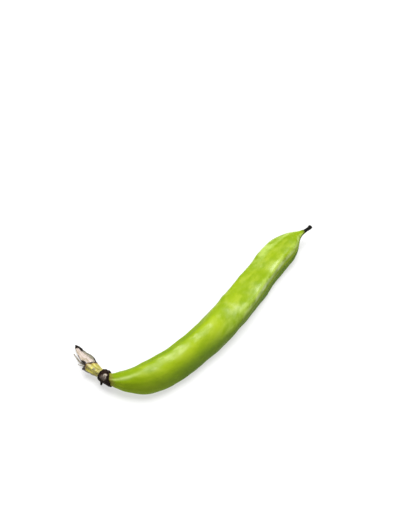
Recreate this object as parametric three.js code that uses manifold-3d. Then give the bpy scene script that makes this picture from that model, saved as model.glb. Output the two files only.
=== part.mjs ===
// One broad bean pod, picked and laid on its flat side.
// Millimetres, +Z up, +X along the pod from its neck to its beak, the table top at z = 0.
import * as THREE from "three";
import { mergeVertices } from "three/addons/utils/BufferGeometryUtils.js";
import Module from "manifold-3d";

// Lines are points [x, y, z]. Sizes are rows that start with a station, the distance along the line.
// A grid is a piece's number of points round it and of rings along it.

// Clearance between neighbouring pieces.
const GAP = 0.3;
// The block below the table top.
const TABLE_BLOCK = [400, 400, 20];

// The pod's middle line, from inside the calyx to the end of the beak.
const POD_LINE = [
  [-87.5, 2.2, 6.1],
  [-86.3, -3.8, 6.6],
  [-83.6, -8.8, 7.3],
  [-79.4, -13.9, 7.9],
  [-71.7, -19.7, 8.5],
  [-57, -23.4, 8.75],
  [-38.9, -23.9, 8.75],
  [-16.7, -21.9, 8.45],
  [8.7, -16.9, 7.8],
  [32.1, -10.9, 7],
  [52.2, -5.8, 6.8],
  [65.9, -3.5, 7.2],
  [76.4, -2.6, 8.2],
  [85.3, -4, 9.4],
];
// Station, half width, half thickness.
const POD_SIZE = [
  [0, 2.6, 2.5],
  [3.5, 2.8, 2.8],
  [5.7, 3.3, 3.3],
  [11.3, 5.1, 4.9],
  [18.3, 7.1, 6.4],
  [26.3, 9, 7.5],
  [34, 9.9, 7.7],
  [42, 10.2, 7.7],
  [61, 10.2, 7.7],
  [80, 10.1, 7.7],
  [91, 10.3, 7.5],
  [101, 9.9, 7],
  [120, 9.6, 6],
  [140, 9, 5.8],
  [154, 9.1, 5.8],
  [165, 9.7, 5.8],
  [172, 8.6, 5.3],
  [178, 6, 4.3],
  [183, 3.1, 2.6],
  [186, 1.8, 1.7],
  [189, 1.4, 1.4],
];
// Station and turn of the section about the middle line, degrees: the pod is twisted along its length.
const POD_TWIST = [
  [0, 30],
  [15, 38],
  [35, 47],
  [60, 47],
  [75, 37],
  [90, 18],
  [105, 2],
  [120, -5],
  [145, -6],
  [165, -9],
  [189, -14],
];
// Station and how square the section is: 2 is an ellipse.
const POD_BOX = [
  [0, 2],
  [75, 2.1],
  [95, 2.8],
  [112, 5],
  [125, 6.5],
  [150, 6.5],
  [165, 4.5],
  [178, 2.6],
  [189, 2],
];
// Station and height of the swelling over each bean, its reach along the pod and its share on the edges.
const BEANS = [
  [32, 0.75],
  [55, 0.85],
  [79, 0.9],
  [103, 0.8],
  [127, 0.9],
  [151, 0.8],
];
const BEAN_REACH = 8.5;
const BEAN_SIDE_SHARE = 0.2;
// Length of the rounding of both ends.
const NECK_ROUND = 2;
const BEAK_ROUND = 0.9;
// The seam on each edge, for the full half width: a ridge between two shallow grooves. Angles in radians.
const SEAM_HALF_WIDTH = 9.8;
const SEAM_HEIGHT = 0.2;
const SEAM_ANGLE = 0.11;
const GROOVE_DEPTH = 0.08;
const GROOVE_AT = 0.27;
const GROOVE_ANGLE = 0.13;
const POD_GRID = [40, 80];
const POD_ROOM_GRID = [28, 60];
// Share by which the rings crowd towards the ends, and the points of a ring towards the seams.
const POD_CROWD = 0.7;
const SEAM_CROWD = 0.5;

// The dried point: a peg in the beak's end, then a slightly bent tip that is thickest near its end.
const PEG_LINE = [
  [84.1, -4.1, 9.35],
  [86, -4.3, 9.5],
];
const PEG_SIZE = [
  [0, 0.55],
  [2, 0.55],
];
const STYLE_LINE = [
  ...PEG_LINE,
  [88, -4.65, 9.8],
  [89.6, -4.8, 10.1],
  [91.3, -4.7, 10.5],
];
const STYLE_SIZE = [
  [0, 0.5],
  [1.4, 0.55],
  [2.1, 1],
  [3.5, 1],
  [5.4, 1.15],
  [6.6, 1.25],
  [7.4, 0.9],
];
const PEG_GRID = [16, 8];
const STYLE_GRID = [14, 18];

// The calyx cup: its axis from the stalk's side to the pod's, and its outer radius.
const CUP_LINE = [
  [-87.55, 4.3, 5.9],
  [-87.4, 1.3, 6.1],
  [-86.7, -2.2, 6.4],
  [-85, -6.4, 6.95],
  [-81.6, -11.3, 7.6],
  [-76.8, -16.5, 8.2],
];
const CUP_SIZE = [
  [0, 3],
  [1.2, 3.5],
  [3.5, 3.9],
  [6.5, 4.05],
  [8.5, 4.4],
  [11.5, 5.35],
  [14.5, 6.6],
  [17.5, 8],
];
const CUP_WALL = 0.7;
const CUP_BACK_ROUND = 1.6;
// Stations of the hollow's floor and of the mouth, which is cut slantwise: the cup is longest on its right.
const CUP_FLOOR = 2.6;
const CUP_MOUTH = 7.4;
const CUP_SLANT = 2.4;
// Angle of each lobe in degrees (0 is the left of the axis, 90 is up), its length and half its width.
const LOBES = [
  [162, 1.2, 28],
  [98, 0.6, 24],
  [235, 0.8, 26],
  [305, 1.3, 30],
];
const CUP_GRID = [44, 22];
// Shares of the cup's rings: its outer face, then the inner face's wall, the rest being the floor.
const CUP_OUTSIDE = 0.55;
const CUP_INSIDE = 0.36;
// The fifth lobe is bent away from the pod as a thin spike.
const SPIKE_LINE = [
  [-88.6, 1.7, 3.6],
  [-89.6, 1.6, 2.4],
  [-90.3, 0.9, 1.5],
  [-90.6, 0.6, 0.8],
];
const SPIKE_SIZE = [
  [0, 1.2],
  [1.6, 0.6],
  [3, 0.45],
  [4.4, 0.35],
];
const SPIKE_GRID = [10, 12];

// The ribbed stalk, from inside the calyx to its open end.
const STALK_LINE = [
  [-87.55, 3.4, 6],
  [-87.6, 6.3, 5.95],
  [-87.8, 9.3, 5.8],
  [-87.9, 12.9, 5.6],
  [-88, 16.7, 5.5],
];
const STALK_SIZE = [
  [0, 2.25],
  [1.5, 2.45],
  [3.5, 2.95],
  [6, 3.4],
  [9.5, 3.85],
  [13.5, 4.1],
];
const STALK_GRID = [42, 16];
const STALK_RIBS = 7;
const STALK_RIB = 0.18;
// The open end is torn slantwise: a point of that plane, its turn in degrees, and the size of the block
// that takes the rest.
const TEAR_AT = [-87.9, 13.1];
const TEAR_TURN = 30;
const TEAR_BLOCK = 30;

// The torn heel: a plug in the stalk's open end, the strip and a loose strand.
const PLUG_LINE = [
  [-87.9, 10.1, 5.7],
  [-87.4, 12.9, 5.5],
  [-86.4, 15.3, 5.1],
];
const PLUG_SIZE = [
  [0, 2.3],
  [3, 2.3],
  [5.2, 0.9],
];
const PLUG_GRID = [20, 8];
const STRIP_LINE = [
  [-87, 11.7, 5],
  [-86, 15.9, 4.8],
  [-84.6, 20.5, 3.3],
  [-83.4, 24.9, 1.6],
  [-82.1, 29.8, 0.9],
  [-81.2, 34.5, 2],
];
// Station, half width, half thickness, rise of the long edges.
const STRIP_SIZE = [
  [0, 3.5, 1.4, 0.6],
  [5, 3.9, 1, 1.4],
  [9.8, 3.5, 0.8, 1.3],
  [14.3, 2.9, 0.7, 1],
  [19, 2, 0.6, 0.6],
  [22.6, 1, 0.5, 0.2],
  [24.4, 0.5, 0.45, 0],
];
const STRIP_ROUND = 1.1;
const STRIP_GRID = [20, 28];
const STRAND_LINE = [
  [-88.4, 16.9, 5.4],
  [-89, 18.9, 4],
  [-88.2, 22.3, 2.2],
  [-86.9, 26.1, 0.9],
  [-85.6, 30.9, 0.6],
];
const STRAND_SIZE = [
  [0, 0.8],
  [4, 0.6],
  [10, 0.45],
  [16, 0.4],
];
const STRAND_GRID = [8, 16];

// Rounding of a rod's ends, the length over which its ribs fade, and how its rings crowd to the ends.
const ROD_ROUND = 0.9;
const RIB_FADE = 2;
const ROD_CROWD = 0.5;

const wasm = await Module();
wasm.setup();

const { degToRad, radToDeg, clamp } = THREE.MathUtils;

// A smooth value of one column of a table of sizes at a station.
function read(table, station, column = 1) {
  const last = table.length - 1;
  const x = clamp(station, table[0][0], table[last][0]);
  let i = 0;
  while (i < last - 1 && x > table[i + 1][0]) i += 1;
  const slope = (k) => {
    const from = table[Math.max(k - 1, 0)];
    const to = table[Math.min(k + 1, last)];
    return (to[column] - from[column]) / (to[0] - from[0]);
  };
  const a = table[i];
  const b = table[i + 1];
  const step = b[0] - a[0];
  const t = (x - a[0]) / step;
  const rise = t * t * (3 - 2 * t) * (b[column] - a[column]);
  const bend = step * t * (1 - t) * (slope(i) * (1 - t) - slope(i + 1) * t);
  return a[column] + rise + bend;
}

// A smooth line through the points, with its length.
function lineOf(points) {
  const curve = new THREE.CatmullRomCurve3(points.map((p) => new THREE.Vector3(...p)));
  curve.curveType = "catmullrom";
  return { curve, length: curve.getLength() };
}

// The point beside the line at a station: `side` to its left, level, and `up` square to both.
function beside({ curve, length }, station, side, up) {
  const at = clamp(station / length, 0, 1);
  const along = curve.getTangentAt(at);
  const left = new THREE.Vector3(-along.y, along.x, 0).normalize();
  const over = new THREE.Vector3().crossVectors(along, left);
  return curve
    .getPointAt(at)
    .addScaledVector(along, station - at * length)
    .addScaledVector(left, side)
    .addScaledVector(over, up);
}

// 0 to 1 spread over a length, crowded towards both ends.
function crowd(t, share) {
  return t - (share * Math.sin(2 * Math.PI * t)) / (2 * Math.PI);
}

// A quarter circle from 0 to 1 over the first `reach` of a distance.
function rounded(distance, reach) {
  const left = 1 - clamp(distance / reach, 0, 1);
  return Math.sqrt(1 - left * left);
}

// A three.js shape as a solid that can be joined and cut.
function solidOf(shape) {
  shape.deleteAttribute("normal");
  shape.deleteAttribute("uv");
  const merged = mergeVertices(shape, 1e-4);
  return new wasm.Manifold(
    new wasm.Mesh({
      numProp: 3,
      vertProperties: new Float32Array(merged.attributes.position.array),
      triVerts: new Uint32Array(merged.index.array),
    }),
  );
}

// A closed body: a sphere whose rows become rings. `place` gives the point for 0 to 1 along the piece
// and an angle round it.
function ringed([around, along], place) {
  const shape = new THREE.SphereGeometry(1, around, along);
  const { position, uv } = shape.attributes;
  for (let i = 0; i < position.count; i += 1) {
    const point = place(uv.getY(i), 2 * Math.PI * uv.getX(i));
    position.setXYZ(i, point.x, point.y, point.z);
  }
  return solidOf(shape);
}

// A round rod along a line, `grow` thicker and longer than its table says, with `ribs` ribs.
function rod(points, size, grid, grow = 0, ribs = 0) {
  const line = lineOf(points);
  return ringed(grid, (t, angle) => {
    const station = (line.length + 2 * grow) * crowd(t, ROD_CROWD) - grow;
    const end = Math.min(station + grow, line.length + grow - station);
    const rib = ribs ? STALK_RIB * Math.cos(ribs * angle) * rounded(end, RIB_FADE) : 0;
    const radius = (read(size, station) + grow) * rounded(end, ROD_ROUND) + rib;
    return beside(line, station, radius * Math.cos(angle), radius * Math.sin(angle));
  });
}

// The pod, `grow` larger all round.
function podBody(grid, grow = 0) {
  const line = lineOf(POD_LINE);
  return ringed(grid, (t, turn) => {
    const station = (line.length + 2 * grow) * crowd(t, POD_CROWD) - grow;
    const angle = turn - (SEAM_CROWD * Math.sin(2 * turn)) / 2;
    const neck = rounded(station + grow, NECK_ROUND);
    const beak = rounded(line.length + grow - station, BEAK_ROUND);
    const bean = BEANS.reduce(
      (sum, [at, height]) => sum + height * Math.exp(-(((station - at) / BEAN_REACH) ** 2)),
      0,
    );
    const off = Math.abs(Math.asin(Math.sin(angle)));
    const ridge = SEAM_HEIGHT * Math.exp(-((off / SEAM_ANGLE) ** 2));
    const groove = GROOVE_DEPTH * Math.exp(-(((off - GROOVE_AT) / GROOVE_ANGLE) ** 2));
    const halfWidth = read(POD_SIZE, station);
    const seam = ((ridge - groove) * halfWidth) / SEAM_HALF_WIDTH;
    const wide = (halfWidth + BEAN_SIDE_SHARE * bean + seam + grow) * neck * beak;
    const thick = (read(POD_SIZE, station, 2) + bean + seam + grow) * neck * beak;
    const square = read(POD_BOX, station);
    const level = Math.abs(Math.cos(angle)) ** square;
    const upright = Math.abs(Math.sin(angle)) ** square;
    const corner = (level + upright) ** (1 / square);
    const across = (wide * Math.cos(angle)) / corner;
    const over = (thick * Math.sin(angle)) / corner;
    const twist = degToRad(read(POD_TWIST, station));
    const side = across * Math.cos(twist) - over * Math.sin(twist);
    const up = across * Math.sin(twist) + over * Math.cos(twist);
    return beside(line, station, side, up);
  });
}

// Station of the cup's lobed rim at an angle.
function rimAt(angle) {
  const slant = CUP_SLANT * Math.cos(angle);
  return LOBES.reduce((sum, [at, reach, half]) => {
    const off = Math.abs(((radToDeg(angle) - at + 540) % 360) - 180);
    return sum + reach * Math.max(0, 1 - off / half);
  }, CUP_MOUTH - slant);
}

// The cup: along its outer face to the rim, back along its inner face, then across its floor.
function cupBody() {
  const line = lineOf(CUP_LINE);
  return ringed(CUP_GRID, (t, angle) => {
    const rim = rimAt(angle);
    const outside = t < CUP_OUTSIDE;
    const inwards = Math.min(1, (t - CUP_OUTSIDE) / CUP_INSIDE);
    const station = outside ? (rim * t) / CUP_OUTSIDE : rim - (rim - CUP_FLOOR) * inwards;
    const across = Math.min(1, (1 - t) / (1 - CUP_OUTSIDE - CUP_INSIDE));
    const radius = outside
      ? read(CUP_SIZE, station) * rounded(station, CUP_BACK_ROUND)
      : (read(CUP_SIZE, station) - CUP_WALL) * across;
    return beside(line, station, radius * Math.cos(angle), radius * Math.sin(angle));
  });
}

// The torn strip: a shallow trough that narrows to a point.
function stripBody() {
  const line = lineOf(STRIP_LINE);
  return ringed(STRIP_GRID, (t, angle) => {
    const station = line.length * t;
    const end = rounded(Math.min(station, line.length - station), STRIP_ROUND);
    const side = read(STRIP_SIZE, station) * Math.cos(angle);
    const curl = read(STRIP_SIZE, station, 3) * Math.cos(angle) ** 2;
    const up = read(STRIP_SIZE, station, 2) * Math.sin(angle) + curl;
    return beside(line, station, side * end, up * end);
  });
}

// Everything past the plane of the stalk's torn end, moved on by `shift`.
function pastTear(shift) {
  const block = new THREE.BoxGeometry(TEAR_BLOCK, TEAR_BLOCK, TEAR_BLOCK);
  block.translate(0, TEAR_BLOCK / 2 + shift, 0);
  block.rotateZ(-degToRad(TEAR_TURN));
  block.translate(...TEAR_AT, 0);
  return solidOf(block);
}

// Everything below the table top.
const under = solidOf(new THREE.BoxGeometry(...TABLE_BLOCK).translate(0, 0, -TABLE_BLOCK[2] / 2));

// The pod rests on its lowest side, which the table top cuts flat.
const pegRoom = rod(PEG_LINE, PEG_SIZE, PEG_GRID, GAP);
const pod = podBody(POD_GRID).subtract(under).subtract(pegRoom);

const style = rod(STYLE_LINE, STYLE_SIZE, STYLE_GRID);

const stalk = rod(STALK_LINE, STALK_SIZE, STALK_GRID, 0, STALK_RIBS)
  .subtract(pastTear(0))
  .subtract(rod(PLUG_LINE, PLUG_SIZE, PLUG_GRID, GAP));

const stalkRoom = rod(STALK_LINE, STALK_SIZE, STALK_GRID, GAP, STALK_RIBS).subtract(pastTear(GAP));

const calyx = cupBody()
  .add(rod(SPIKE_LINE, SPIKE_SIZE, SPIKE_GRID))
  .subtract(podBody(POD_ROOM_GRID, GAP))
  .subtract(stalkRoom)
  .subtract(under);

const tornHeel = stripBody()
  .add(rod(STRAND_LINE, STRAND_SIZE, STRAND_GRID))
  .subtract(stalkRoom)
  .add(rod(PLUG_LINE, PLUG_SIZE, PLUG_GRID))
  .subtract(under);

const group = new THREE.Group();

function addPiece(name, solid, color, roughness) {
  const { vertProperties, triVerts } = solid.getMesh();
  const shape = new THREE.BufferGeometry();
  shape.setAttribute("position", new THREE.BufferAttribute(new Float32Array(vertProperties), 3));
  shape.setIndex(new THREE.BufferAttribute(new Uint32Array(triVerts), 1));
  shape.computeVertexNormals();
  const material = new THREE.MeshStandardMaterial({ color, roughness, metalness: 0 });
  const mesh = new THREE.Mesh(shape, material);
  mesh.name = name;
  group.add(mesh);
}

addPiece("pod", pod, "#9fc238", 0.4);
addPiece("style", style, "#26241f", 0.75);
addPiece("calyx", calyx, "#3b3024", 0.75);
addPiece("stalk", stalk, "#c9bd66", 0.4);
addPiece("torn_heel", tornHeel, "#ddd0bf", 0.75);

export default group;
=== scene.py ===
import math

import bmesh
import bpy
import numpy as np
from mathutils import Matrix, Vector, noise
from mathutils.bvhtree import BVHTree


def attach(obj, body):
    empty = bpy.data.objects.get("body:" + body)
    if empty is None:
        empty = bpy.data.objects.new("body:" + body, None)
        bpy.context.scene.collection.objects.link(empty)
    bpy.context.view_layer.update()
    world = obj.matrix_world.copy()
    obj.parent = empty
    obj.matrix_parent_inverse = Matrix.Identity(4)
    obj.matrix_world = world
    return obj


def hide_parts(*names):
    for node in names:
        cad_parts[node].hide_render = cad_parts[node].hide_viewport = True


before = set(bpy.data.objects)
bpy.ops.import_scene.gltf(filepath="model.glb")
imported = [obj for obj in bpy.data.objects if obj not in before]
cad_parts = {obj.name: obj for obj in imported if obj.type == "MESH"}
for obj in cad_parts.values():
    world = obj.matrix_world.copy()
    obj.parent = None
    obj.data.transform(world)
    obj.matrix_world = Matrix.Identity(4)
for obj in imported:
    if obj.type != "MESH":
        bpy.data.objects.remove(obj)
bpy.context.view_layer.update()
MM = 0.001


# The camera: a short telephoto lens that looks down on the pod from the side its neck bends away from,
# so that the pod runs from the lower left to the upper right.
CAMERA_TURN = math.radians(-45.76)
CAMERA_RISE = math.radians(45)
CAMERA_AWAY = 0.8
CAMERA_AIM = Vector((0.0297, 0.0282, 0))
LENS = 85


def towards(turn, rise):
    """The direction from the pod to something, with turn 0 in front and 90 degrees on the right."""
    level = math.cos(rise)
    return Vector((math.sin(turn) * level, -math.cos(turn) * level, math.sin(rise)))


def aimed(thing, turn, rise, away, aim):
    """Stands a camera or a light in that direction from a point, looking at it."""
    back = towards(turn, rise)
    thing.location = aim + back * away
    thing.rotation_euler = back.to_track_quat("Z", "Y").to_euler()
    bpy.context.scene.collection.objects.link(thing)
    return thing


camera = bpy.data.objects.new("camera", bpy.data.cameras.new("camera"))
camera.data.lens = LENS
bpy.context.scene.camera = aimed(camera, CAMERA_TURN, CAMERA_RISE, CAMERA_AWAY, CAMERA_AIM)


# The studio: a broad soft light high behind the pod, an even glow all round, and a white table top.
# Nothing here is part of the pod.
LIGHT_TURN = math.radians(118)
LIGHT_RISE = math.radians(75)
LIGHT_WIDTH = math.radians(50)
LIGHT_STRENGTH = 5
GLOW = 0.12
TABLE_SIZE = 12
TABLE_WHITE = 0.3
TABLE_SHINE = 0.63
TABLE_ROUGHNESS = 0.8
TABLE_GLOSS = 0.2

light = bpy.data.objects.new("soft_light", bpy.data.lights.new("soft_light", "SUN"))
light.data.energy = LIGHT_STRENGTH
light.data.angle = LIGHT_WIDTH
aimed(light, LIGHT_TURN, LIGHT_RISE, 1, Vector())

world = bpy.data.worlds.new("glow")
world.use_nodes = True
world.node_tree.nodes["Background"].inputs["Color"].default_value = (GLOW, GLOW, GLOW, 1)
bpy.context.scene.world = world
bpy.context.scene.view_settings.view_transform = "Standard"

table = bmesh.new()
bmesh.ops.create_grid(table, x_segments=1, y_segments=1, size=TABLE_SIZE / 2)
table_mesh = bpy.data.meshes.new("table_top")
table.to_mesh(table_mesh)
table.free()
table_top = bpy.data.objects.new("table_top", table_mesh)
bpy.context.scene.collection.objects.link(table_top)
white = bpy.data.materials.new("table_white")
white.use_nodes = True
white_looks = {
    "Base Color": (TABLE_WHITE, TABLE_WHITE, TABLE_WHITE, 1),
    "Roughness": TABLE_ROUGHNESS,
    "Specular IOR Level": TABLE_GLOSS,
    "Emission Color": (1, 1, 1, 1),
    "Emission Strength": TABLE_SHINE,
}
for socket, value in white_looks.items():
    white.node_tree.nodes["Principled BSDF"].inputs[socket].default_value = value
table_mesh.materials.append(white)


# The pod: one closed, fleshy green body, flattened, hooked at the neck and drawn out to a beak.
# Its two halves meet in a raised seam along each edge, the beans inside swell its flat sides,
# and its waxy skin is finely veined, with paler, yellower patches over the beans.
POD_LINE = [
    (-87.5, 2.2, 6.1),
    (-86.3, -3.8, 6.6),
    (-83.6, -8.8, 7.3),
    (-79.4, -13.9, 7.9),
    (-71.7, -19.7, 8.5),
    (-57, -23.4, 8.75),
    (-38.9, -23.9, 8.75),
    (-16.7, -21.9, 8.45),
    (8.7, -16.9, 7.8),
    (32.1, -10.9, 7),
    (52.2, -5.8, 6.8),
    (65.9, -3.5, 7.2),
    (76.4, -2.6, 8.2),
    (85.3, -4, 9.4),
]
# Distance along the line, half width, half thickness.
POD_SIZE = [
    (0, 2.6, 2.5),
    (3.5, 2.8, 2.8),
    (5.7, 3.3, 3.3),
    (11.3, 5.1, 4.9),
    (18.3, 7.1, 6.4),
    (26.3, 9, 7.5),
    (34, 9.9, 7.7),
    (42, 10.2, 7.7),
    (61, 10.2, 7.7),
    (80, 10.1, 7.7),
    (91, 10.3, 7.5),
    (101, 9.9, 7),
    (120, 9.6, 6),
    (140, 9, 5.8),
    (154, 9.1, 5.8),
    (165, 9.7, 5.8),
    (172, 8.6, 5.3),
    (178, 6, 4.3),
    (183, 3.1, 2.6),
    (186, 1.8, 1.7),
    (189, 1.4, 1.4),
]
# Distance along the line, turn of the section in degrees.
POD_TWIST = [
    (0, 30),
    (15, 38),
    (35, 47),
    (60, 47),
    (75, 37),
    (90, 18),
    (105, 2),
    (120, -5),
    (145, -6),
    (165, -9),
    (189, -14),
]
# Distance along the line and how square the section is: 2 is an ellipse.
POD_BOX = [
    (0, 2),
    (75, 2.1),
    (95, 2.8),
    (112, 5),
    (125, 6.5),
    (150, 6.5),
    (165, 4.5),
    (178, 2.6),
    (189, 2),
]
# Distance along the line and height of the swelling over each bean.
BEANS = [(32, 0.75), (55, 0.85), (79, 0.9), (103, 0.8), (127, 0.9), (151, 0.8)]
BEAN_REACH = 8.5
BEAN_SIDE_SHARE = 0.2
NECK_ROUND = 2
BEAK_ROUND = 0.9
# The seam's ridge, the fine line along its crest and the groove on each side of it.
SEAM_HALF_WIDTH = 9.8
SEAM_HEIGHT = 0.2
SEAM_ANGLE = 0.11
CREST_DEPTH = 0.06
CREST_ANGLE = 0.035
GROOVE_DEPTH = 0.08
GROOVE_AT = 0.27
GROOVE_ANGLE = 0.13
# The skin's slow unevenness, and the creases that run into the neck and the beak.
SWELL_HEIGHT = 0.2
SWELL_SIZE = 10
DIMPLE_HEIGHT = 0.07
DIMPLE_SIZE = 4
CREASE_HEIGHT = 0.13
CREASES = 11
CREASE_START = 8
CREASE_REACH = 14
CREASE_WANDER = 2
REST_SOFTNESS = 0.03
# What the colours follow: the lowest side, which the painted shade and painted highlights follow, a
# painted highlight streak on the neck and the cup's slanting edge.
LOW_SIDE = math.radians(45)
NECK_HIGHLIGHT_AT = math.radians(120)
NECK_HIGHLIGHT_ANGLE = 0.14
NECK_HIGHLIGHT_STATION = 14
NECK_HIGHLIGHT_REACH = 10
NECK_HIGHLIGHT_LEAN = math.radians(1.7)
CUP_EDGE = 5.3
CUP_EDGE_SLANT = 2.4
# How closely the mesh's rings and columns stand, and what brings raw noise to about -1 to 1.
POD_CROWD = 0.7
SEAM_CROWD = 0.5
POD_AROUND = 160
POD_ALONG = 460
LINE_STEPS = 2000
NOISE_GAIN = 1.6


class Line:
    """A smooth line through points, and places beside it."""

    def __init__(self, points):
        known = np.array(points, float)
        known = np.vstack([2 * known[0] - known[1], known, 2 * known[-1] - known[-2]])
        share = np.linspace(0, len(points) - 1, LINE_STEPS)
        i = np.minimum(share.astype(int), len(points) - 2)
        f = (share - i)[:, None]
        a, b, c, d = known[i], known[i + 1], known[i + 2], known[i + 3]
        bend = f**2 * (2 * a - 5 * b + 4 * c - d) + f**3 * (3 * b - a - 3 * c + d)
        self.points = b + (f * (c - a) + bend) / 2
        steps = np.linalg.norm(np.diff(self.points, axis=0), axis=1)
        self.stations = np.append(0, np.cumsum(steps))
        self.length = self.stations[-1]
        self.directions = np.gradient(self.points, self.stations, axis=0)

    def at(self, station, values):
        """Points or directions of the line at distances along it."""
        return np.stack([np.interp(station, self.stations, column) for column in values.T], axis=1)

    def beside(self, station, side, up):
        """Points at distances along the line, `side` to its left, level, and `up` square to both."""
        inside = np.clip(station, 0, self.length)
        along = self.at(inside, self.directions)
        along /= np.linalg.norm(along, axis=1)[:, None]
        left = np.cross((0, 0, 1), along)
        left /= np.linalg.norm(left, axis=1)[:, None]
        over = np.cross(along, left)
        ends = along * (station - inside)[:, None]
        return self.at(inside, self.points) + ends + left * side[:, None] + over * up[:, None]


def read(table, station, column=1):
    """A smooth value of one column of a table of sizes, at distances along a line."""
    rows = np.array(table, float)
    x, y = rows[:, 0], rows[:, column]
    before = np.maximum(np.arange(len(x)) - 1, 0)
    after = np.minimum(np.arange(len(x)) + 1, len(x) - 1)
    slope = (y[after] - y[before]) / (x[after] - x[before])
    at = np.clip(station, x[0], x[-1])
    i = np.clip(np.searchsorted(x, at) - 1, 0, len(x) - 2)
    step = x[i + 1] - x[i]
    t = (at - x[i]) / step
    bend = step * t * (1 - t) * (slope[i] * (1 - t) - slope[i + 1] * t)
    return y[i] + t * t * (3 - 2 * t) * (y[i + 1] - y[i]) + bend


def crowd(t, share):
    """0 to 1 spread over a length, crowded towards both ends."""
    return t - share * np.sin(2 * np.pi * t) / (2 * np.pi)


def rounded(distance, reach):
    """A quarter circle from 0 to 1 over the first `reach` of a distance."""
    left = 1 - np.clip(distance / reach, 0, 1)
    return np.sqrt(1 - left * left)


def bell(distance, reach):
    """1 in the middle, falling away smoothly on both sides."""
    return np.exp(-((distance / reach) ** 2))


def uneven(points, size, seed):
    """A smooth random height of about -1 to 1 at each point, with its bumps `size` apart."""
    start = Vector((seed, 2.7 * seed, -1.3 * seed))
    return np.array([noise.noise(Vector(p) / size + start) for p in points]) * NOISE_GAIN


def straightened(station, angle, radius=1):
    """Where points would be if the line were straight, for patterns that follow the piece."""
    return np.stack([station, radius * np.cos(angle), radius * np.sin(angle)], axis=1)


def grown(name, around, along, place):
    """A closed body: a ball whose rings are laid along a line. `place` is given the share of the way
    along and the angle round for all points at once, and returns the points and what to note on them."""
    ball = bmesh.new()
    bmesh.ops.create_uvsphere(ball, u_segments=around, v_segments=along, radius=1)
    unit = np.array([v.co for v in ball.verts])
    t = np.arccos(np.clip(unit[:, 2], -1, 1)) / np.pi
    angle = np.arctan2(unit[:, 1], unit[:, 0])
    points, notes = place(t, angle)
    for vertex, point in zip(ball.verts, points):
        vertex.co = point * MM
    ball.normal_update()
    bmesh.ops.recalc_face_normals(ball, faces=ball.faces)
    for face in ball.faces:
        face.smooth = True
    mesh = bpy.data.meshes.new(name)
    ball.to_mesh(mesh)
    ball.free()
    for note, values in notes.items():
        flat = np.ascontiguousarray(values, np.float32)
        kind, field = ("FLOAT_VECTOR", "vector") if flat.ndim == 2 else ("FLOAT", "value")
        mesh.attributes.new(note, kind, "POINT").data.foreach_set(field, flat.ravel())
    return mesh


def pod_place(t, turn):
    station = pod_line.length * crowd(t, POD_CROWD)
    angle = turn - SEAM_CROWD * np.sin(2 * turn) / 2
    ends = rounded(station, NECK_ROUND) * rounded(pod_line.length - station, BEAK_ROUND)
    bean = sum(height * bell(station - at, BEAN_REACH) for at, height in BEANS)
    off = np.abs(np.arcsin(np.sin(angle)))
    half_width = read(POD_SIZE, station)
    fullness = half_width / SEAM_HALF_WIDTH
    ridge = SEAM_HEIGHT * bell(off, SEAM_ANGLE) - CREST_DEPTH * bell(off, CREST_ANGLE)
    seam = (ridge - GROOVE_DEPTH * bell(off - GROOVE_AT, GROOVE_ANGLE)) * fullness
    straight = straightened(station, angle, half_width)
    swell = SWELL_HEIGHT * uneven(straight, SWELL_SIZE, seed=3)
    swell = swell + DIMPLE_HEIGHT * uneven(straight, DIMPLE_SIZE, seed=7)
    from_end = np.minimum(station - CREASE_START, pod_line.length - station)
    wander = CREASE_WANDER * uneven(straight, SWELL_SIZE, seed=11)
    crease = CREASE_HEIGHT * np.sin(CREASES * angle + wander)
    rough = (swell + crease * bell(from_end, CREASE_REACH)) * fullness
    wide = (half_width + BEAN_SIDE_SHARE * bean + seam + rough) * ends
    thick = (read(POD_SIZE, station, 2) + bean + seam + rough) * ends
    square = read(POD_BOX, station)
    corner = (np.abs(np.cos(angle)) ** square + np.abs(np.sin(angle)) ** square) ** (1 / square)
    across = wide * np.cos(angle) / corner
    over = thick * np.sin(angle) / corner
    twist = np.radians(read(POD_TWIST, station))
    side = across * np.cos(twist) - over * np.sin(twist)
    up = across * np.sin(twist) + over * np.cos(twist)
    points = pod_line.beside(station, side, up)
    points[:, 2] = (points[:, 2] + np.sqrt(points[:, 2] ** 2 + REST_SOFTNESS)) / 2
    bean_top = sum(bell(station - at, BEAN_REACH) for at, _ in BEANS) * np.sin(angle) ** 2
    # Where the painted highlight streak runs along the neck.
    rib = angle + twist - NECK_HIGHLIGHT_AT + NECK_HIGHLIGHT_LEAN * (station - NECK_HIGHLIGHT_STATION)
    return points, {
        "straight": straight * MM,
        "from_seam": off * half_width,
        "bean": bean_top,
        # How far each point faces down and to the near side, which the painted shade and painted
        # highlights follow.
        "low": -np.cos(angle + twist - LOW_SIDE),
        # The painted highlight streak on the neck.
        "rib": bell(rib, NECK_HIGHLIGHT_ANGLE) * bell(station - NECK_HIGHLIGHT_STATION, NECK_HIGHLIGHT_REACH),
        "from_cup": station - CUP_EDGE + CUP_EDGE_SLANT * np.cos(angle + twist),
    }


pod_line = Line(POD_LINE)
pod_mesh = grown("pod_skin", POD_AROUND, POD_ALONG, pod_place)


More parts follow.
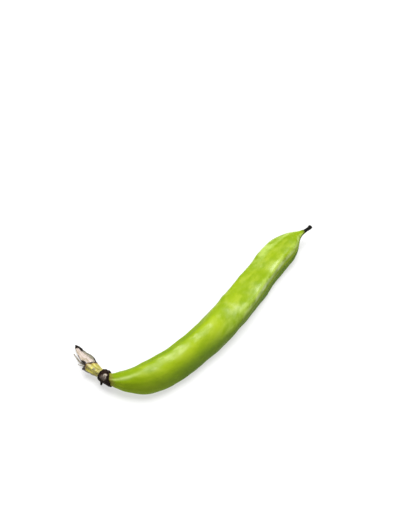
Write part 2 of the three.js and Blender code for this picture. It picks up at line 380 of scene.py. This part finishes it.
class Signal:
    """One output of a material's nodes. Arithmetic on it adds Math nodes."""

    def __init__(self, finish, socket):
        self.finish = finish
        self.socket = socket

    def maths(self, operation, *values):
        return self.finish.node("Math", {"operation": operation}, dict(enumerate(values)))

    def __add__(self, other):
        return self.maths("ADD", self, other)

    def __sub__(self, other):
        return self.maths("SUBTRACT", self, other)

    def __rsub__(self, other):
        return self.maths("SUBTRACT", other, self)

    def __mul__(self, other):
        return self.maths("MULTIPLY", self, other)

    __radd__ = __add__
    __rmul__ = __mul__

    def step(self, low, high):
        """0 to 1 as the signal goes from low to high, eased at both ends. Low may be the larger."""
        if low > high:
            return 1 - self.step(high, low)
        settings = {"interpolation_type": "SMOOTHSTEP"}
        return self.finish.node("MapRange", settings, {"Value": self, "From Min": low, "From Max": high})


# A colour Mix node's sockets: the share, the colour under, the colour over and the result.
MIX_SHARE, MIX_UNDER, MIX_OVER, MIX_RESULT = 0, 6, 7, 2


class Finish:
    """A material in the making: its shader, the nodes that feed it and the colour painted so far."""

    def __init__(self, name, ground, **looks):
        self.material = bpy.data.materials.new(name)
        self.material.use_nodes = True
        self.tree = self.material.node_tree
        self.shader = self.tree.nodes["Principled BSDF"].inputs
        self.painted = ground
        self.show(**looks)

    def node(self, kind, settings, inputs, output=0):
        """A node's output: its settings are set first, then the values or links of its sockets."""
        made = self.tree.nodes.new("ShaderNode" + kind)
        for name, value in settings.items():
            setattr(made, name, value)
        for key, value in inputs.items():
            self.feed(made.inputs[key], value)
        return Signal(self, made.outputs[output])

    def feed(self, socket, value):
        """Links a signal to a socket, or sets the socket's value."""
        if isinstance(value, Signal):
            self.tree.links.new(value.socket, socket)
        else:
            socket.default_value = value

    def show(self, **looks):
        """Feeds the shader's sockets, named with underscores."""
        for socket, value in looks.items():
            self.feed(self.shader[socket.replace("_", " ")], value)

    def note(self, name, output="Fac"):
        """What was noted on the piece's points under a name."""
        return self.node("Attribute", {"attribute_name": name}, {}, output)

    def grain(self, where, scale, detail=3, stretch=(1, 1, 1)):
        """A random pattern, 0 to 1, with `scale` bumps to the metre."""
        placed = self.node("Mapping", {}, {"Vector": where, "Scale": stretch})
        return self.node("TexNoise", {}, {"Vector": placed, "Scale": scale, "Detail": detail})

    def paint(self, over, share):
        """Covers a share of what is painted so far with another colour."""
        colours = {MIX_SHARE: share, MIX_UNDER: self.painted, MIX_OVER: over}
        self.painted = self.node("Mix", {"data_type": "RGBA"}, colours, MIX_RESULT)

    def relief(self, height, depth):
        """The skin's normal for a height of 0 to 1, `depth` millimetres deep."""
        return self.node("Bump", {}, {"Height": height, "Distance": depth * MM}, "Normal")


def colour(code):
    """A colour written as its screen value, such as "#9fc238", for a shader."""
    screen = [int(code[i : i + 2], 16) / 255 for i in (1, 3, 5)]
    return (*[c / 12.92 if c < 0.04045 else ((c + 0.055) / 1.055) ** 2.4 for c in screen], 1)


def piece(name, mesh, finish, node):
    """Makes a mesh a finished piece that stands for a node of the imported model."""
    mesh.materials.append(finish.material)
    made = bpy.data.objects.new(name, mesh)
    bpy.context.scene.collection.objects.link(made)
    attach(made, "root")
    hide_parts(node)


POD_GREEN = colour("#8fa809")
POD_DEEP = colour("#7e9a09")
POD_PALE = colour("#a4b71f")
POD_NECK = colour("#877c38")
POD_SEAM = colour("#8fa61e")
POD_SHADE = colour("#648022")
POD_NECK_HIGHLIGHT = colour("#c8da80")
POD_HIGHLIGHT_AND_PALE_EDGE = colour("#c4dc78")
POD_GROOVE = colour("#5f7420")
POD_BEAK = colour("#4d5a1e")
POD_SCUFF = colour("#6b6a2a")

# Where parts of the colouring fade in or out, as distances along the pod in metres.
TIP_HALF = (65 * MM, 120 * MM)
SHADED = (-10 * MM, 60 * MM)
FAR_EDGE = (10 * MM, 30 * MM)
SEAM_END = (150 * MM, 170 * MM)
PALE_FAR_EDGE = (130 * MM, 160 * MM)
BEAK_TIP = (184.5 * MM, 189 * MM)
BEAK_UNDERSIDE = (177 * MM, 183 * MM)
# Distances from the seam, and for the neck's stain from the cup, in millimetres.
GROOVE_NEAR = (1.2, 2.6)
GROOVE_FAR = (5.5, 3.2)
CREST_LINE = (0.45, 0.15)
SEAM_BAND = (1.4, 0.6)
SCUFFED = (5, 1)
WAXED = (1.5, 4.5)
NECK_STAIN = (3.4, 0.4)
SKIN_DEPTH = 0.24

pod_finish = Finish("pod_green", POD_DEEP, Specular_IOR_Level=0.04, Coat_Roughness=0.3)
straight = pod_finish.note("straight", "Vector")
station = pod_finish.node("SeparateXYZ", {}, {"Vector": straight})
from_seam = pod_finish.note("from_seam")
low_side = pod_finish.note("low")
along_tip = station.step(*TIP_HALF)
mottle = pod_finish.grain(straight, 70, 4, (0.6, 1, 1))
cloud = pod_finish.grain(straight, 260, 4, (0.5, 1, 1))
fine = pod_finish.grain(straight, 1500, 3)

# Deep green patches under paler ones, which gather over the beans.
pod_finish.paint(POD_GREEN, mottle.step(0.35, 0.68))
pale = pod_finish.note("bean") * (mottle + 0.3 * cloud).step(0.45, 0.85)
pod_finish.paint(POD_PALE, pale * 0.6)
pod_finish.paint(POD_PALE, cloud.step(0.42, 0.68) * 0.5)

# Painted shade in the grooves beside the seam, and the dark line on its crest.
groove = from_seam.step(*GROOVE_FAR) * from_seam.step(*GROOVE_NEAR)
pod_finish.paint(POD_GROOVE, groove * (0.2 - 0.15 * along_tip))
pod_finish.paint(POD_GROOVE, from_seam.step(*CREST_LINE) * 0.2)

# Painted shade: darker green low down, on the side turned from the light, and along the far edge of the
# neck half.
low = low_side.step(-0.5, 0.65)
low = low + along_tip * (low_side.step(0.1, 0.85) - low)
pod_finish.paint(POD_SHADE, low * station.step(*SHADED) * (0.6 + 0.8 * cloud))
far = low_side.step(-0.8, -0.95) * (1 - along_tip) * station.step(*FAR_EDGE)
pod_finish.paint(POD_SHADE, far * 0.5)

# The yellower seam, a painted highlight streak on the neck, and painted highlights on the tip half's
# shoulders with a paler far edge near the tip.
pod_finish.paint(POD_SEAM, from_seam.step(*SEAM_BAND) * (0.3 + 0.4 * station.step(*SEAM_END)))
# The painted highlight streak on the neck, noted on the pod's points as rib.
pod_finish.paint(POD_NECK_HIGHLIGHT, pod_finish.note("rib") * (0.1 + 1.3 * cloud))
highlight_and_pale_edge = low_side.step(-0.35, 0) * low_side.step(0.55, 0.25)
highlight_and_pale_edge = highlight_and_pale_edge + low_side.step(-0.88, -0.985) * station.step(*PALE_FAR_EDGE)
pod_finish.paint(POD_HIGHLIGHT_AND_PALE_EDGE, highlight_and_pale_edge * along_tip * cloud.step(0.3, 0.6) * 0.45)

# The stained skin next to the cup, the darker beak with painted shade on its lower side, and the scuffs
# along the seam.
neck = (pod_finish.note("from_cup") + 3 * (cloud - 0.5)).step(*NECK_STAIN)
pod_finish.paint(POD_NECK, neck * 0.75)
beak = station.step(*BEAK_TIP) + station.step(*BEAK_UNDERSIDE) * low_side.step(0.2, 0.6)
pod_finish.paint(POD_BEAK, beak.step(0, 1) * 0.9)
scuff = cloud.step(0.62, 0.72) * from_seam.step(*SCUFFED)
pod_finish.paint(POD_SCUFF, scuff * (0.35 - 0.3 * along_tip))

# The wax, which is rubbed off low down and by the seam.
wax = (0.25 + 0.4 * cloud.step(0.38, 0.64)) * (1 + 0.4 * along_tip)
wax = wax * low.step(0.45, 0.05) * from_seam.step(*WAXED) * (1 - 0.6 * far)
pod_finish.show(
    Base_Color=pod_finish.painted,
    Coat_Weight=wax,
    Roughness=0.35 + 0.3 * cloud,
    Normal=pod_finish.relief(0.5 * fine + cloud, SKIN_DEPTH),
)
piece("pod_skin", pod_mesh, pod_finish, "pod")


# The style: the dried point of the flower, black, brittle and a little bent, which stays in the
# end of the beak. It shrank lengthways into wrinkles as it dried.
STYLE_LINE = [
    (83.6, -4.05, 9.3),
    (86, -4.3, 9.5),
    (88, -4.65, 9.8),
    (89.6, -4.8, 10.1),
    (91.3, -4.7, 10.5),
]
STYLE_SIZE = [(0, 1), (1.6, 1.25), (2.3, 1.15), (3.8, 1.1), (5.6, 1.25), (7, 1.35), (7.9, 0.9)]
STYLE_ROUND = 0.7
STYLE_CROWD = 0.5
STYLE_WRINKLES = 5
STYLE_WRINKLE_HEIGHT = 0.09
STYLE_WRINKLE_TURN = 0.5
STYLE_LUMP_HEIGHT = 0.12
STYLE_LUMP_SIZE = 0.9
STYLE_DEPTH = 0.15
STYLE_AROUND = 40
STYLE_ALONG = 80
STYLE_BLACK = colour("#0c0b09")
STYLE_DUST = colour("#2b2620")


def thin_rod(line, station, angle, radius, end, flat=1):
    """Points on a thin body along a line, rounded at both ends and made flatter by `flat`."""
    radius = radius * rounded(np.minimum(station, line.length - station), end)
    return line.beside(station, radius * np.cos(angle), flat * radius * np.sin(angle))


def style_place(t, angle):
    station = style_line.length * crowd(t, STYLE_CROWD)
    straight = straightened(station, angle)
    wrinkle = STYLE_WRINKLE_HEIGHT * np.cos(STYLE_WRINKLES * angle + STYLE_WRINKLE_TURN * station)
    wrinkle = wrinkle + STYLE_LUMP_HEIGHT * uneven(straight, STYLE_LUMP_SIZE, seed=5)
    points = thin_rod(style_line, station, angle, read(STYLE_SIZE, station) + wrinkle, STYLE_ROUND)
    return points, {"straight": straight * MM}


style_line = Line(STYLE_LINE)
style_mesh = grown("dried_point", STYLE_AROUND, STYLE_ALONG, style_place)
style_finish = Finish("dried_black", STYLE_BLACK, Roughness=0.75, Specular_IOR_Level=0.12)
dust = style_finish.grain(style_finish.note("straight", "Vector"), 900, 4, (0.4, 1, 1))
style_finish.paint(STYLE_DUST, dust.step(0.5, 0.75))
style_finish.show(Base_Color=style_finish.painted, Normal=style_finish.relief(dust, STYLE_DEPTH))
piece("dried_point", style_mesh, style_finish, "style")


# The calyx: the flower's five-lobed cup, shrivelled to a dark papery collar that grips the neck.
# Its mouth slants along the pod, and the lowest lobe has dried into a spike that bends away.
CUP_LINE = [
    (-87.55, 4.3, 5.9),
    (-87.4, 1.3, 6.1),
    (-86.7, -2.2, 6.4),
    (-85, -6.4, 6.95),
    (-81.6, -11.3, 7.6),
    (-76.8, -16.5, 8.2),
]
# Distance along the line, radius.
CUP_SIZE = [
    (0, 2.9),
    (1.2, 3.5),
    (3.5, 3.9),
    (6.5, 4.05),
    (8.5, 4.4),
    (11.5, 5.35),
    (14.5, 6.6),
    (17.5, 8),
]
CUP_RADIUS = 4
CUP_WALL = 0.35
CUP_FLOOR = 2.3
CUP_BACK_ROUND = 1.6
CUP_MOUTH = 7.4
CUP_SLANT = 1.9
# Angle of each lobe in degrees, its length and half its width.
LOBES = [(166, 0.7, 22), (98, 0.6, 24), (235, 0.8, 26), (305, 1.3, 30)]
CUP_OUTSIDE = 0.55
CUP_INSIDE = 0.36
CUP_AROUND = 176
CUP_ALONG = 110
CUP_CLEAR = 0.12
RIM_RAGGED = 0.3
LOBE_POINT = 1.15
# The two dark rolled rings: how thick, where they lie and how wide they are.
ROLL_HEIGHT = 0.25
RIM_ROLL_AT = 0.8
RIM_ROLL_REACH = 0.8
BACK_ROLL_AT = 1.7
BACK_ROLL_REACH = 1
FOLDS = 10
FOLD_HEIGHT = 0.16
FOLD_WANDER = 0.4
FOLD_START = 3
CRUMPLE = 0.22
CRUMPLE_SIZE = 1.7
FINE_CRUMPLE_SIZE = 0.7
CUP_DEPTH = 0.35
SPIKE_LINE = [(-88.2, 1.9, 4.4), (-89.3, 1.7, 2.7), (-90.1, 1.1, 1.6), (-90.7, 0.5, 0.9)]
SPIKE_SIZE = [(0, 1.3), (1.6, 0.9), (3, 0.75), (4.6, 0.5)]
SPIKE_CROWD = 0.5
SPIKE_ROUND = 0.4
SPIKE_FLAT = 0.7
SPIKE_LUMP_HEIGHT = 0.12
SPIKE_LUMP_SIZE = 0.8
SPIKE_AROUND = 28
SPIKE_ALONG = 50


def ring(angle):
    """Places on a circle, for what changes only round a rim."""
    return np.stack([np.cos(angle), np.sin(angle), 0 * angle], axis=1)


def cup_place(t, angle):
    rim = CUP_MOUTH - CUP_SLANT * np.cos(angle) + RIM_RAGGED * uneven(ring(angle), 0.22, seed=2)
    for at, reach, half in LOBES:
        off = np.abs((np.degrees(angle) - at + 180) % 360 - 180)
        rim += reach * np.maximum(0, 1 - off / half) ** LOBE_POINT
    outside = t < CUP_OUTSIDE
    inwards = np.clip((t - CUP_OUTSIDE) / CUP_INSIDE, 0, 1)
    station = np.where(outside, rim * t / CUP_OUTSIDE, rim - (rim - CUP_FLOOR) * inwards)
    across = np.clip((1 - t) / (1 - CUP_OUTSIDE - CUP_INSIDE), 0, 1)
    straight = straightened(station, angle, CUP_RADIUS)
    fold = FOLD_HEIGHT * np.cos(FOLDS * angle + FOLD_WANDER * uneven(straight, 3, seed=4))
    crumple = CRUMPLE * uneven(straight, CRUMPLE_SIZE, seed=9)
    crumple = crumple + 0.5 * CRUMPLE * uneven(straight, FINE_CRUMPLE_SIZE, seed=12)
    roll = bell(rim - station - RIM_ROLL_AT, RIM_ROLL_REACH)
    roll = ROLL_HEIGHT * (roll + bell(station - BACK_ROLL_AT, BACK_ROLL_REACH))
    skin = read(CUP_SIZE, station) + roll + (fold + crumple) * rounded(station, FOLD_START)
    radius = np.where(outside, skin * rounded(station, CUP_BACK_ROUND), (skin - CUP_WALL) * across)
    points = cup_line.beside(station, radius * np.cos(angle), radius * np.sin(angle))
    # The wall is held just off the pod's skin, inside and out.
    for i in np.where(station > CUP_FLOOR)[0]:
        wall = CUP_WALL + roll[i] if outside[i] else 0
        near, normal, _, _ = pod_skin.find_nearest(Vector(points[i] * MM))
        height = (Vector(points[i] * MM) - near).dot(normal) / MM
        if height < CUP_CLEAR + wall and (outside[i] or across[i] == 1):
            points[i] += np.array(normal) * (CUP_CLEAR + wall - height)
    return points, {"straight": straight * MM}


pod_shape = bmesh.new()
pod_shape.from_mesh(pod_mesh)
pod_skin = BVHTree.FromBMesh(pod_shape)
pod_shape.free()
cup_line = Line(CUP_LINE)
cup_mesh = grown("calyx_cup", CUP_AROUND, CUP_ALONG, cup_place)


def spike_place(t, angle):
    station = spike_line.length * crowd(t, SPIKE_CROWD)
    straight = straightened(station, angle)
    radius = read(SPIKE_SIZE, station) + SPIKE_LUMP_HEIGHT * uneven(straight, SPIKE_LUMP_SIZE, seed=6)
    points = thin_rod(spike_line, station, angle, radius, SPIKE_ROUND, SPIKE_FLAT)
    return points, {"straight": straight * MM}


spike_line = Line(SPIKE_LINE)
spike_mesh = grown("calyx_spike", SPIKE_AROUND, SPIKE_ALONG, spike_place)

CUP_DARK = colour("#0e0b08")
CUP_BROWN = colour("#2c1b12")
CUP_GREY = colour("#655a52")
CUP_PALE = colour("#b5aa9c")
# A pale grey patch between the two dark rings, and a paler spot on it: the middle and the
# reach in metres, on the straightened cup, and the colour.
PALE_SPOTS = [
    ((0.0047, -0.0031, 0.0025), 0.0024, CUP_GREY),
    ((0.0057, -0.0014, 0.0038), 0.0014, CUP_PALE),
]
PALE_SPOT_RAGGED = 0.004

cup_finish = Finish("dried_calyx", CUP_DARK, Roughness=0.7, Specular_IOR_Level=0.08)
where = cup_finish.note("straight", "Vector")
crinkle = cup_finish.grain(where, 900, 5)
cup_finish.paint(CUP_BROWN, crinkle.step(0.4, 0.65))
for place, reach, shade in PALE_SPOTS:
    off = cup_finish.node("VectorMath", {"operation": "DISTANCE"}, {0: where, 1: place}, "Value")
    cup_finish.paint(shade, (off + PALE_SPOT_RAGGED * (crinkle - 0.5)).step(reach, 0.5 * reach))
cup_finish.show(Base_Color=cup_finish.painted, Normal=cup_finish.relief(crinkle, CUP_DEPTH))
piece("calyx_cup", cup_mesh, cup_finish, "calyx")
piece("calyx_spike", spike_mesh, cup_finish, "calyx")


# The stalk: short, juicy and yellow-green, ribbed lengthways, and widening to where it was torn off
# the plant. The torn rim has dried brown and thick.
STALK_LINE = [
    (-87.55, 3, 6),
    (-87.6, 6.3, 5.95),
    (-87.8, 9.3, 5.8),
    (-87.9, 12.9, 5.6),
    (-88, 16.7, 5.5),
]
STALK_SIZE = [(0, 2.2), (1.6, 2.55), (3.6, 3.0), (6.1, 3.45), (9.6, 3.85), (13.6, 4.1)]
STALK_RADIUS = 3.5
STALK_BACK_ROUND = 0.9
STALK_RIBS = 7
RIB_HEIGHT = 0.24
RIB_WANDER = 0.5
RIB_START = 3
STALK_LUMP_HEIGHT = 0.16
STALK_LUMP_SIZE = 2.2
STALK_GRAIN_HEIGHT = 0.07
STALK_GRAIN_SIZE = 0.8
TEAR_STATION = 9.8
TEAR_SLANT = 2.2
TEAR_RAGGED = 0.55
LIP_HEIGHT = 0.45
LIP_REACH = 0.9
TORN_DEPTH = 1.6
TORN_ROUND = 0.6
BARK_DEPTH = 0.2
STALK_OUTSIDE = 0.7
STALK_AROUND = 140
STALK_ALONG = 110


def stalk_place(t, angle):
    rim = TEAR_STATION + TEAR_SLANT * np.cos(angle) + TEAR_RAGGED * uneven(ring(angle), 0.45, seed=8)
    outside = t < STALK_OUTSIDE
    inner = np.clip((t - STALK_OUTSIDE) / (1 - STALK_OUTSIDE), 0, 1)
    torn = rim - TORN_DEPTH * rounded(inner, TORN_ROUND)
    station = np.where(outside, rim * t / STALK_OUTSIDE, torn)
    straight = straightened(station, angle, STALK_RADIUS)
    rib = RIB_HEIGHT * np.cos(STALK_RIBS * angle + RIB_WANDER * uneven(straight, 6, seed=1))
    lumps = STALK_LUMP_HEIGHT * uneven(straight, STALK_LUMP_SIZE, seed=3)
    lumps = lumps + STALK_GRAIN_HEIGHT * uneven(straight, STALK_GRAIN_SIZE, seed=6)
    thickness = 0.7 + 0.5 * uneven(ring(angle), 0.6, seed=15)
    lip = LIP_HEIGHT * bell(rim - station, LIP_REACH) * thickness
    skin = read(STALK_SIZE, station) + rib * rounded(station, RIB_START) + lumps + lip
    skin = skin * rounded(station, STALK_BACK_ROUND)
    radius = np.where(outside, skin, skin * (1 - inner))
    points = stalk_line.beside(station, radius * np.cos(angle), radius * np.sin(angle))
    return points, {"straight": straight * MM, "to_rim": rim - station, "inner": inner}


stalk_line = Line(STALK_LINE)
stalk_mesh = grown("stalk_barrel", STALK_AROUND, STALK_ALONG, stalk_place)
STALK_YELLOW = colour("#d6cd5a")
STALK_GREEN = colour("#8f8638")
STALK_CREAM = colour("#c0b68a")
STALK_RUST = colour("#8f6630")
STALK_BROWN = colour("#33231a")
STALK_PITH = colour("#cdbf9f")
# The side that the rot runs along, as a measure that is about 1 there and -1 opposite, and how far
# from the cup the green fades, in metres.
ROT_SIDE = (0, 200, -200)
BY_CUP = (6.5 * MM, 3 * MM)

stalk_finish = Finish("stalk_yellow", STALK_GREEN, Roughness=0.42)
where = stalk_finish.note("straight", "Vector")
streak = stalk_finish.grain(where, 600, 4, (0.25, 1, 1))
blotch = stalk_finish.grain(where, 260, 3)

# Yellow streaks, cream blotches, a few brown ones, and greener next to the cup.
stalk_finish.paint(STALK_YELLOW, streak.step(0.35, 0.65))
stalk_finish.paint(STALK_CREAM, blotch.step(0.55, 0.7) * 0.5)
stalk_finish.paint(STALK_BROWN, blotch.step(0.42, 0.33) * streak.step(0.4, 0.6))
by_cup = stalk_finish.node("SeparateXYZ", {}, {"Vector": where}).step(*BY_CUP)
stalk_finish.paint(STALK_GREEN, by_cup * 0.6)

# The rusty, then brown torn rim, with the rot that runs back along one side, and the pale pith.
dotted = {"operation": "DOT_PRODUCT"}
under = stalk_finish.node("VectorMath", dotted, {0: where, 1: ROT_SIDE}, "Value")
to_rim = stalk_finish.note("to_rim") + 1.2 * (blotch - 0.5)
rot = (to_rim - 2.4 * under.step(0.3, 0.9)).step(1.3, 0.6)
rot = rot + (under + 0.5 * (streak - 0.5)).step(0.75, 0.95) * to_rim.step(6.5, 5)
stalk_finish.paint(STALK_RUST, to_rim.step(2.8, 1.2) * 0.6)
stalk_finish.paint(STALK_BROWN, rot.step(0, 1))
stalk_finish.paint(STALK_PITH, stalk_finish.note("inner").step(0.05, 0.2))
stalk_finish.show(Base_Color=stalk_finish.painted, Normal=stalk_finish.relief(streak, BARK_DEPTH))
piece("stalk_barrel", stalk_mesh, stalk_finish, "stalk")


# The torn heel: a tongue of stem bark that came away with the stalk. Its torn inner face is pale and
# stringy, its edges have curled up and dried dark, and thin strands hang loose beside it.
STRIP_LINE = [
    (-87.4, 9.9, 5.2),
    (-86, 15.9, 4.8),
    (-84.6, 20.5, 3.3),
    (-83.4, 24.9, 1.6),
    (-82.1, 29.8, 0.9),
    (-81.2, 34.5, 2),
]
# Distance along the line, half width, half thickness, rise of the long edges.
STRIP_SIZE = [
    (0, 2.6, 1.4, 0.6),
    (3, 3.4, 1.2, 0.9),
    (6.9, 3.9, 0.9, 1.4),
    (11.7, 3.5, 0.7, 1.4),
    (16.2, 2.9, 0.6, 1.2),
    (20.9, 2.1, 0.5, 0.9),
    (24.5, 1.1, 0.4, 0.5),
    (26.3, 0.4, 0.3, 0),
]
STRIP_ROUND = 1.1
STRIP_RAGGED = 0.35
STRIP_RADIUS = 4
CURL_POWER = 2.5
FIBRES = 19.8
FIBRE_HEIGHT = 0.13
FIBRE_WANDER = 1.5
TABLE_GAP = 0.1
FIBRE_DEPTH = 0.25
STRIP_AROUND = 120
STRIP_ALONG = 150
STRAND_ROUND = 0.3
STRAND_LUMP_HEIGHT = 0.08
STRAND_LUMP_SIZE = 1.1
STRAND_AROUND = 24
STRAND_ALONG = 70
# A strand is coloured like the strip this far from its tip and from its middle.
STRAND_TO_TIP = 9
STRAND_LEFT = -0.55
# Each strand: its line, then its radius at distances along it.
STRANDS = {
    "loose_strand": (
        [(-88.4, 15.9, 5.4), (-89, 18.9, 4), (-88.2, 22.3, 2.2), (-86.9, 26.1, 0.9), (-85.6, 30.9, 0.6)],
        [(0, 0.8), (4, 0.6), (10, 0.45), (16, 0.3)],
    ),
    "short_strand": (
        [(-90.6, 14.5, 6.4), (-91.4, 16.7, 6.2), (-91.6, 18.7, 5.2), (-91.2, 20.5, 4.4)],
        [(0, 0.4), (3, 0.25), (6, 0.15)],
    ),
}


def strip_place(t, angle):
    station = strip_line.length * t
    ends = rounded(np.minimum(station, strip_line.length - station), STRIP_ROUND)
    across = np.cos(angle)
    sheet = np.stack([station, STRIP_RADIUS * across, 0 * station], axis=1)
    edge = np.stack([station, np.sign(across), 0 * station], axis=1)
    frayed = STRIP_RAGGED * uneven(edge, 2.1, seed=4) * rounded(station - 6, 6)
    side = (read(STRIP_SIZE, station) + frayed) * across
    fibre = FIBRE_HEIGHT * np.cos(FIBRES * across + FIBRE_WANDER * uneven(sheet, 5, seed=2))
    thick = read(STRIP_SIZE, station, 2) * (1 + 0.25 * uneven(sheet, 2.4, seed=6))
    curl = read(STRIP_SIZE, station, 3) * np.abs(across) ** CURL_POWER
    up = (thick + fibre) * np.sin(angle) + curl
    points = strip_line.beside(station, side * ends, up * ends)
    points[:, 2] = np.maximum(points[:, 2], TABLE_GAP)
    return points, {
        "straight": np.stack([station, side, up], axis=1) * MM,
        "edge": np.abs(across),
        "to_tip": strip_line.length - station,
        "left": across,
    }


strip_line = Line(STRIP_LINE)
strip_mesh = grown("heel_strip", STRIP_AROUND, STRIP_ALONG, strip_place)
HEEL_PALE = colour("#c9bcb4")
HEEL_CREAM = colour("#a89a86")
HEEL_GREEN = colour("#6a6b56")
HEEL_DARK = colour("#1c1510")
heel_finish = Finish("torn_fibre", HEEL_CREAM, Roughness=0.75, Specular_IOR_Level=0.2)
where = heel_finish.note("straight", "Vector")
streak = heel_finish.grain(where, 900, 4, (0.15, 1, 1))
blotch = heel_finish.grain(where, 220, 3)
ragged = 0.6 * (blotch - 0.5)

# Pale stringy fibre, with painted shade in grey-green towards its right edge.
heel_finish.paint(HEEL_PALE, streak.step(0.35, 0.65))
left = heel_finish.note("left")
heel_finish.paint(HEEL_GREEN, (left + ragged).step(-0.2, -0.8) * 0.8)

# The dried edges and tip, and a dark foot on the left, next to the stalk.
edge = heel_finish.note("edge") + 0.5 * (blotch - 0.5)
to_tip = heel_finish.note("to_tip")
dark = (edge + 0.5 * (streak - 0.5)).step(0.85, 1)
dark = dark + to_tip.step(9, 5) * (left + ragged).step(-0.1, -0.6)
dark = dark + (to_tip + 4 * ragged).step(3.2, 1.8)
dark = dark + to_tip.step(15, 18) * (left + ragged).step(0.35, 0.7)
heel_finish.paint(HEEL_DARK, dark.step(0, 1))
heel_finish.show(Base_Color=heel_finish.painted, Normal=heel_finish.relief(streak, FIBRE_DEPTH))
piece("heel_strip", strip_mesh, heel_finish, "torn_heel")

for name, (line, thickness) in STRANDS.items():
    strand_line = Line(line)

    def strand_place(t, angle):
        station = strand_line.length * t
        straight = straightened(station, angle)
        lumps = STRAND_LUMP_HEIGHT * uneven(straight, STRAND_LUMP_SIZE, seed=3)
        points = thin_rod(strand_line, station, angle, read(thickness, station) + lumps, STRAND_ROUND)
        points[:, 2] = np.maximum(points[:, 2], TABLE_GAP)
        return points, {
            "straight": straight * MM,
            "edge": 0.5 - 0.5 * np.cos(angle),
            "to_tip": STRAND_TO_TIP + 0 * station,
            "left": STRAND_LEFT + 0 * station,
        }

    strand_mesh = grown(name, STRAND_AROUND, STRAND_ALONG, strand_place)
    piece(name, strand_mesh, heel_finish, "torn_heel")
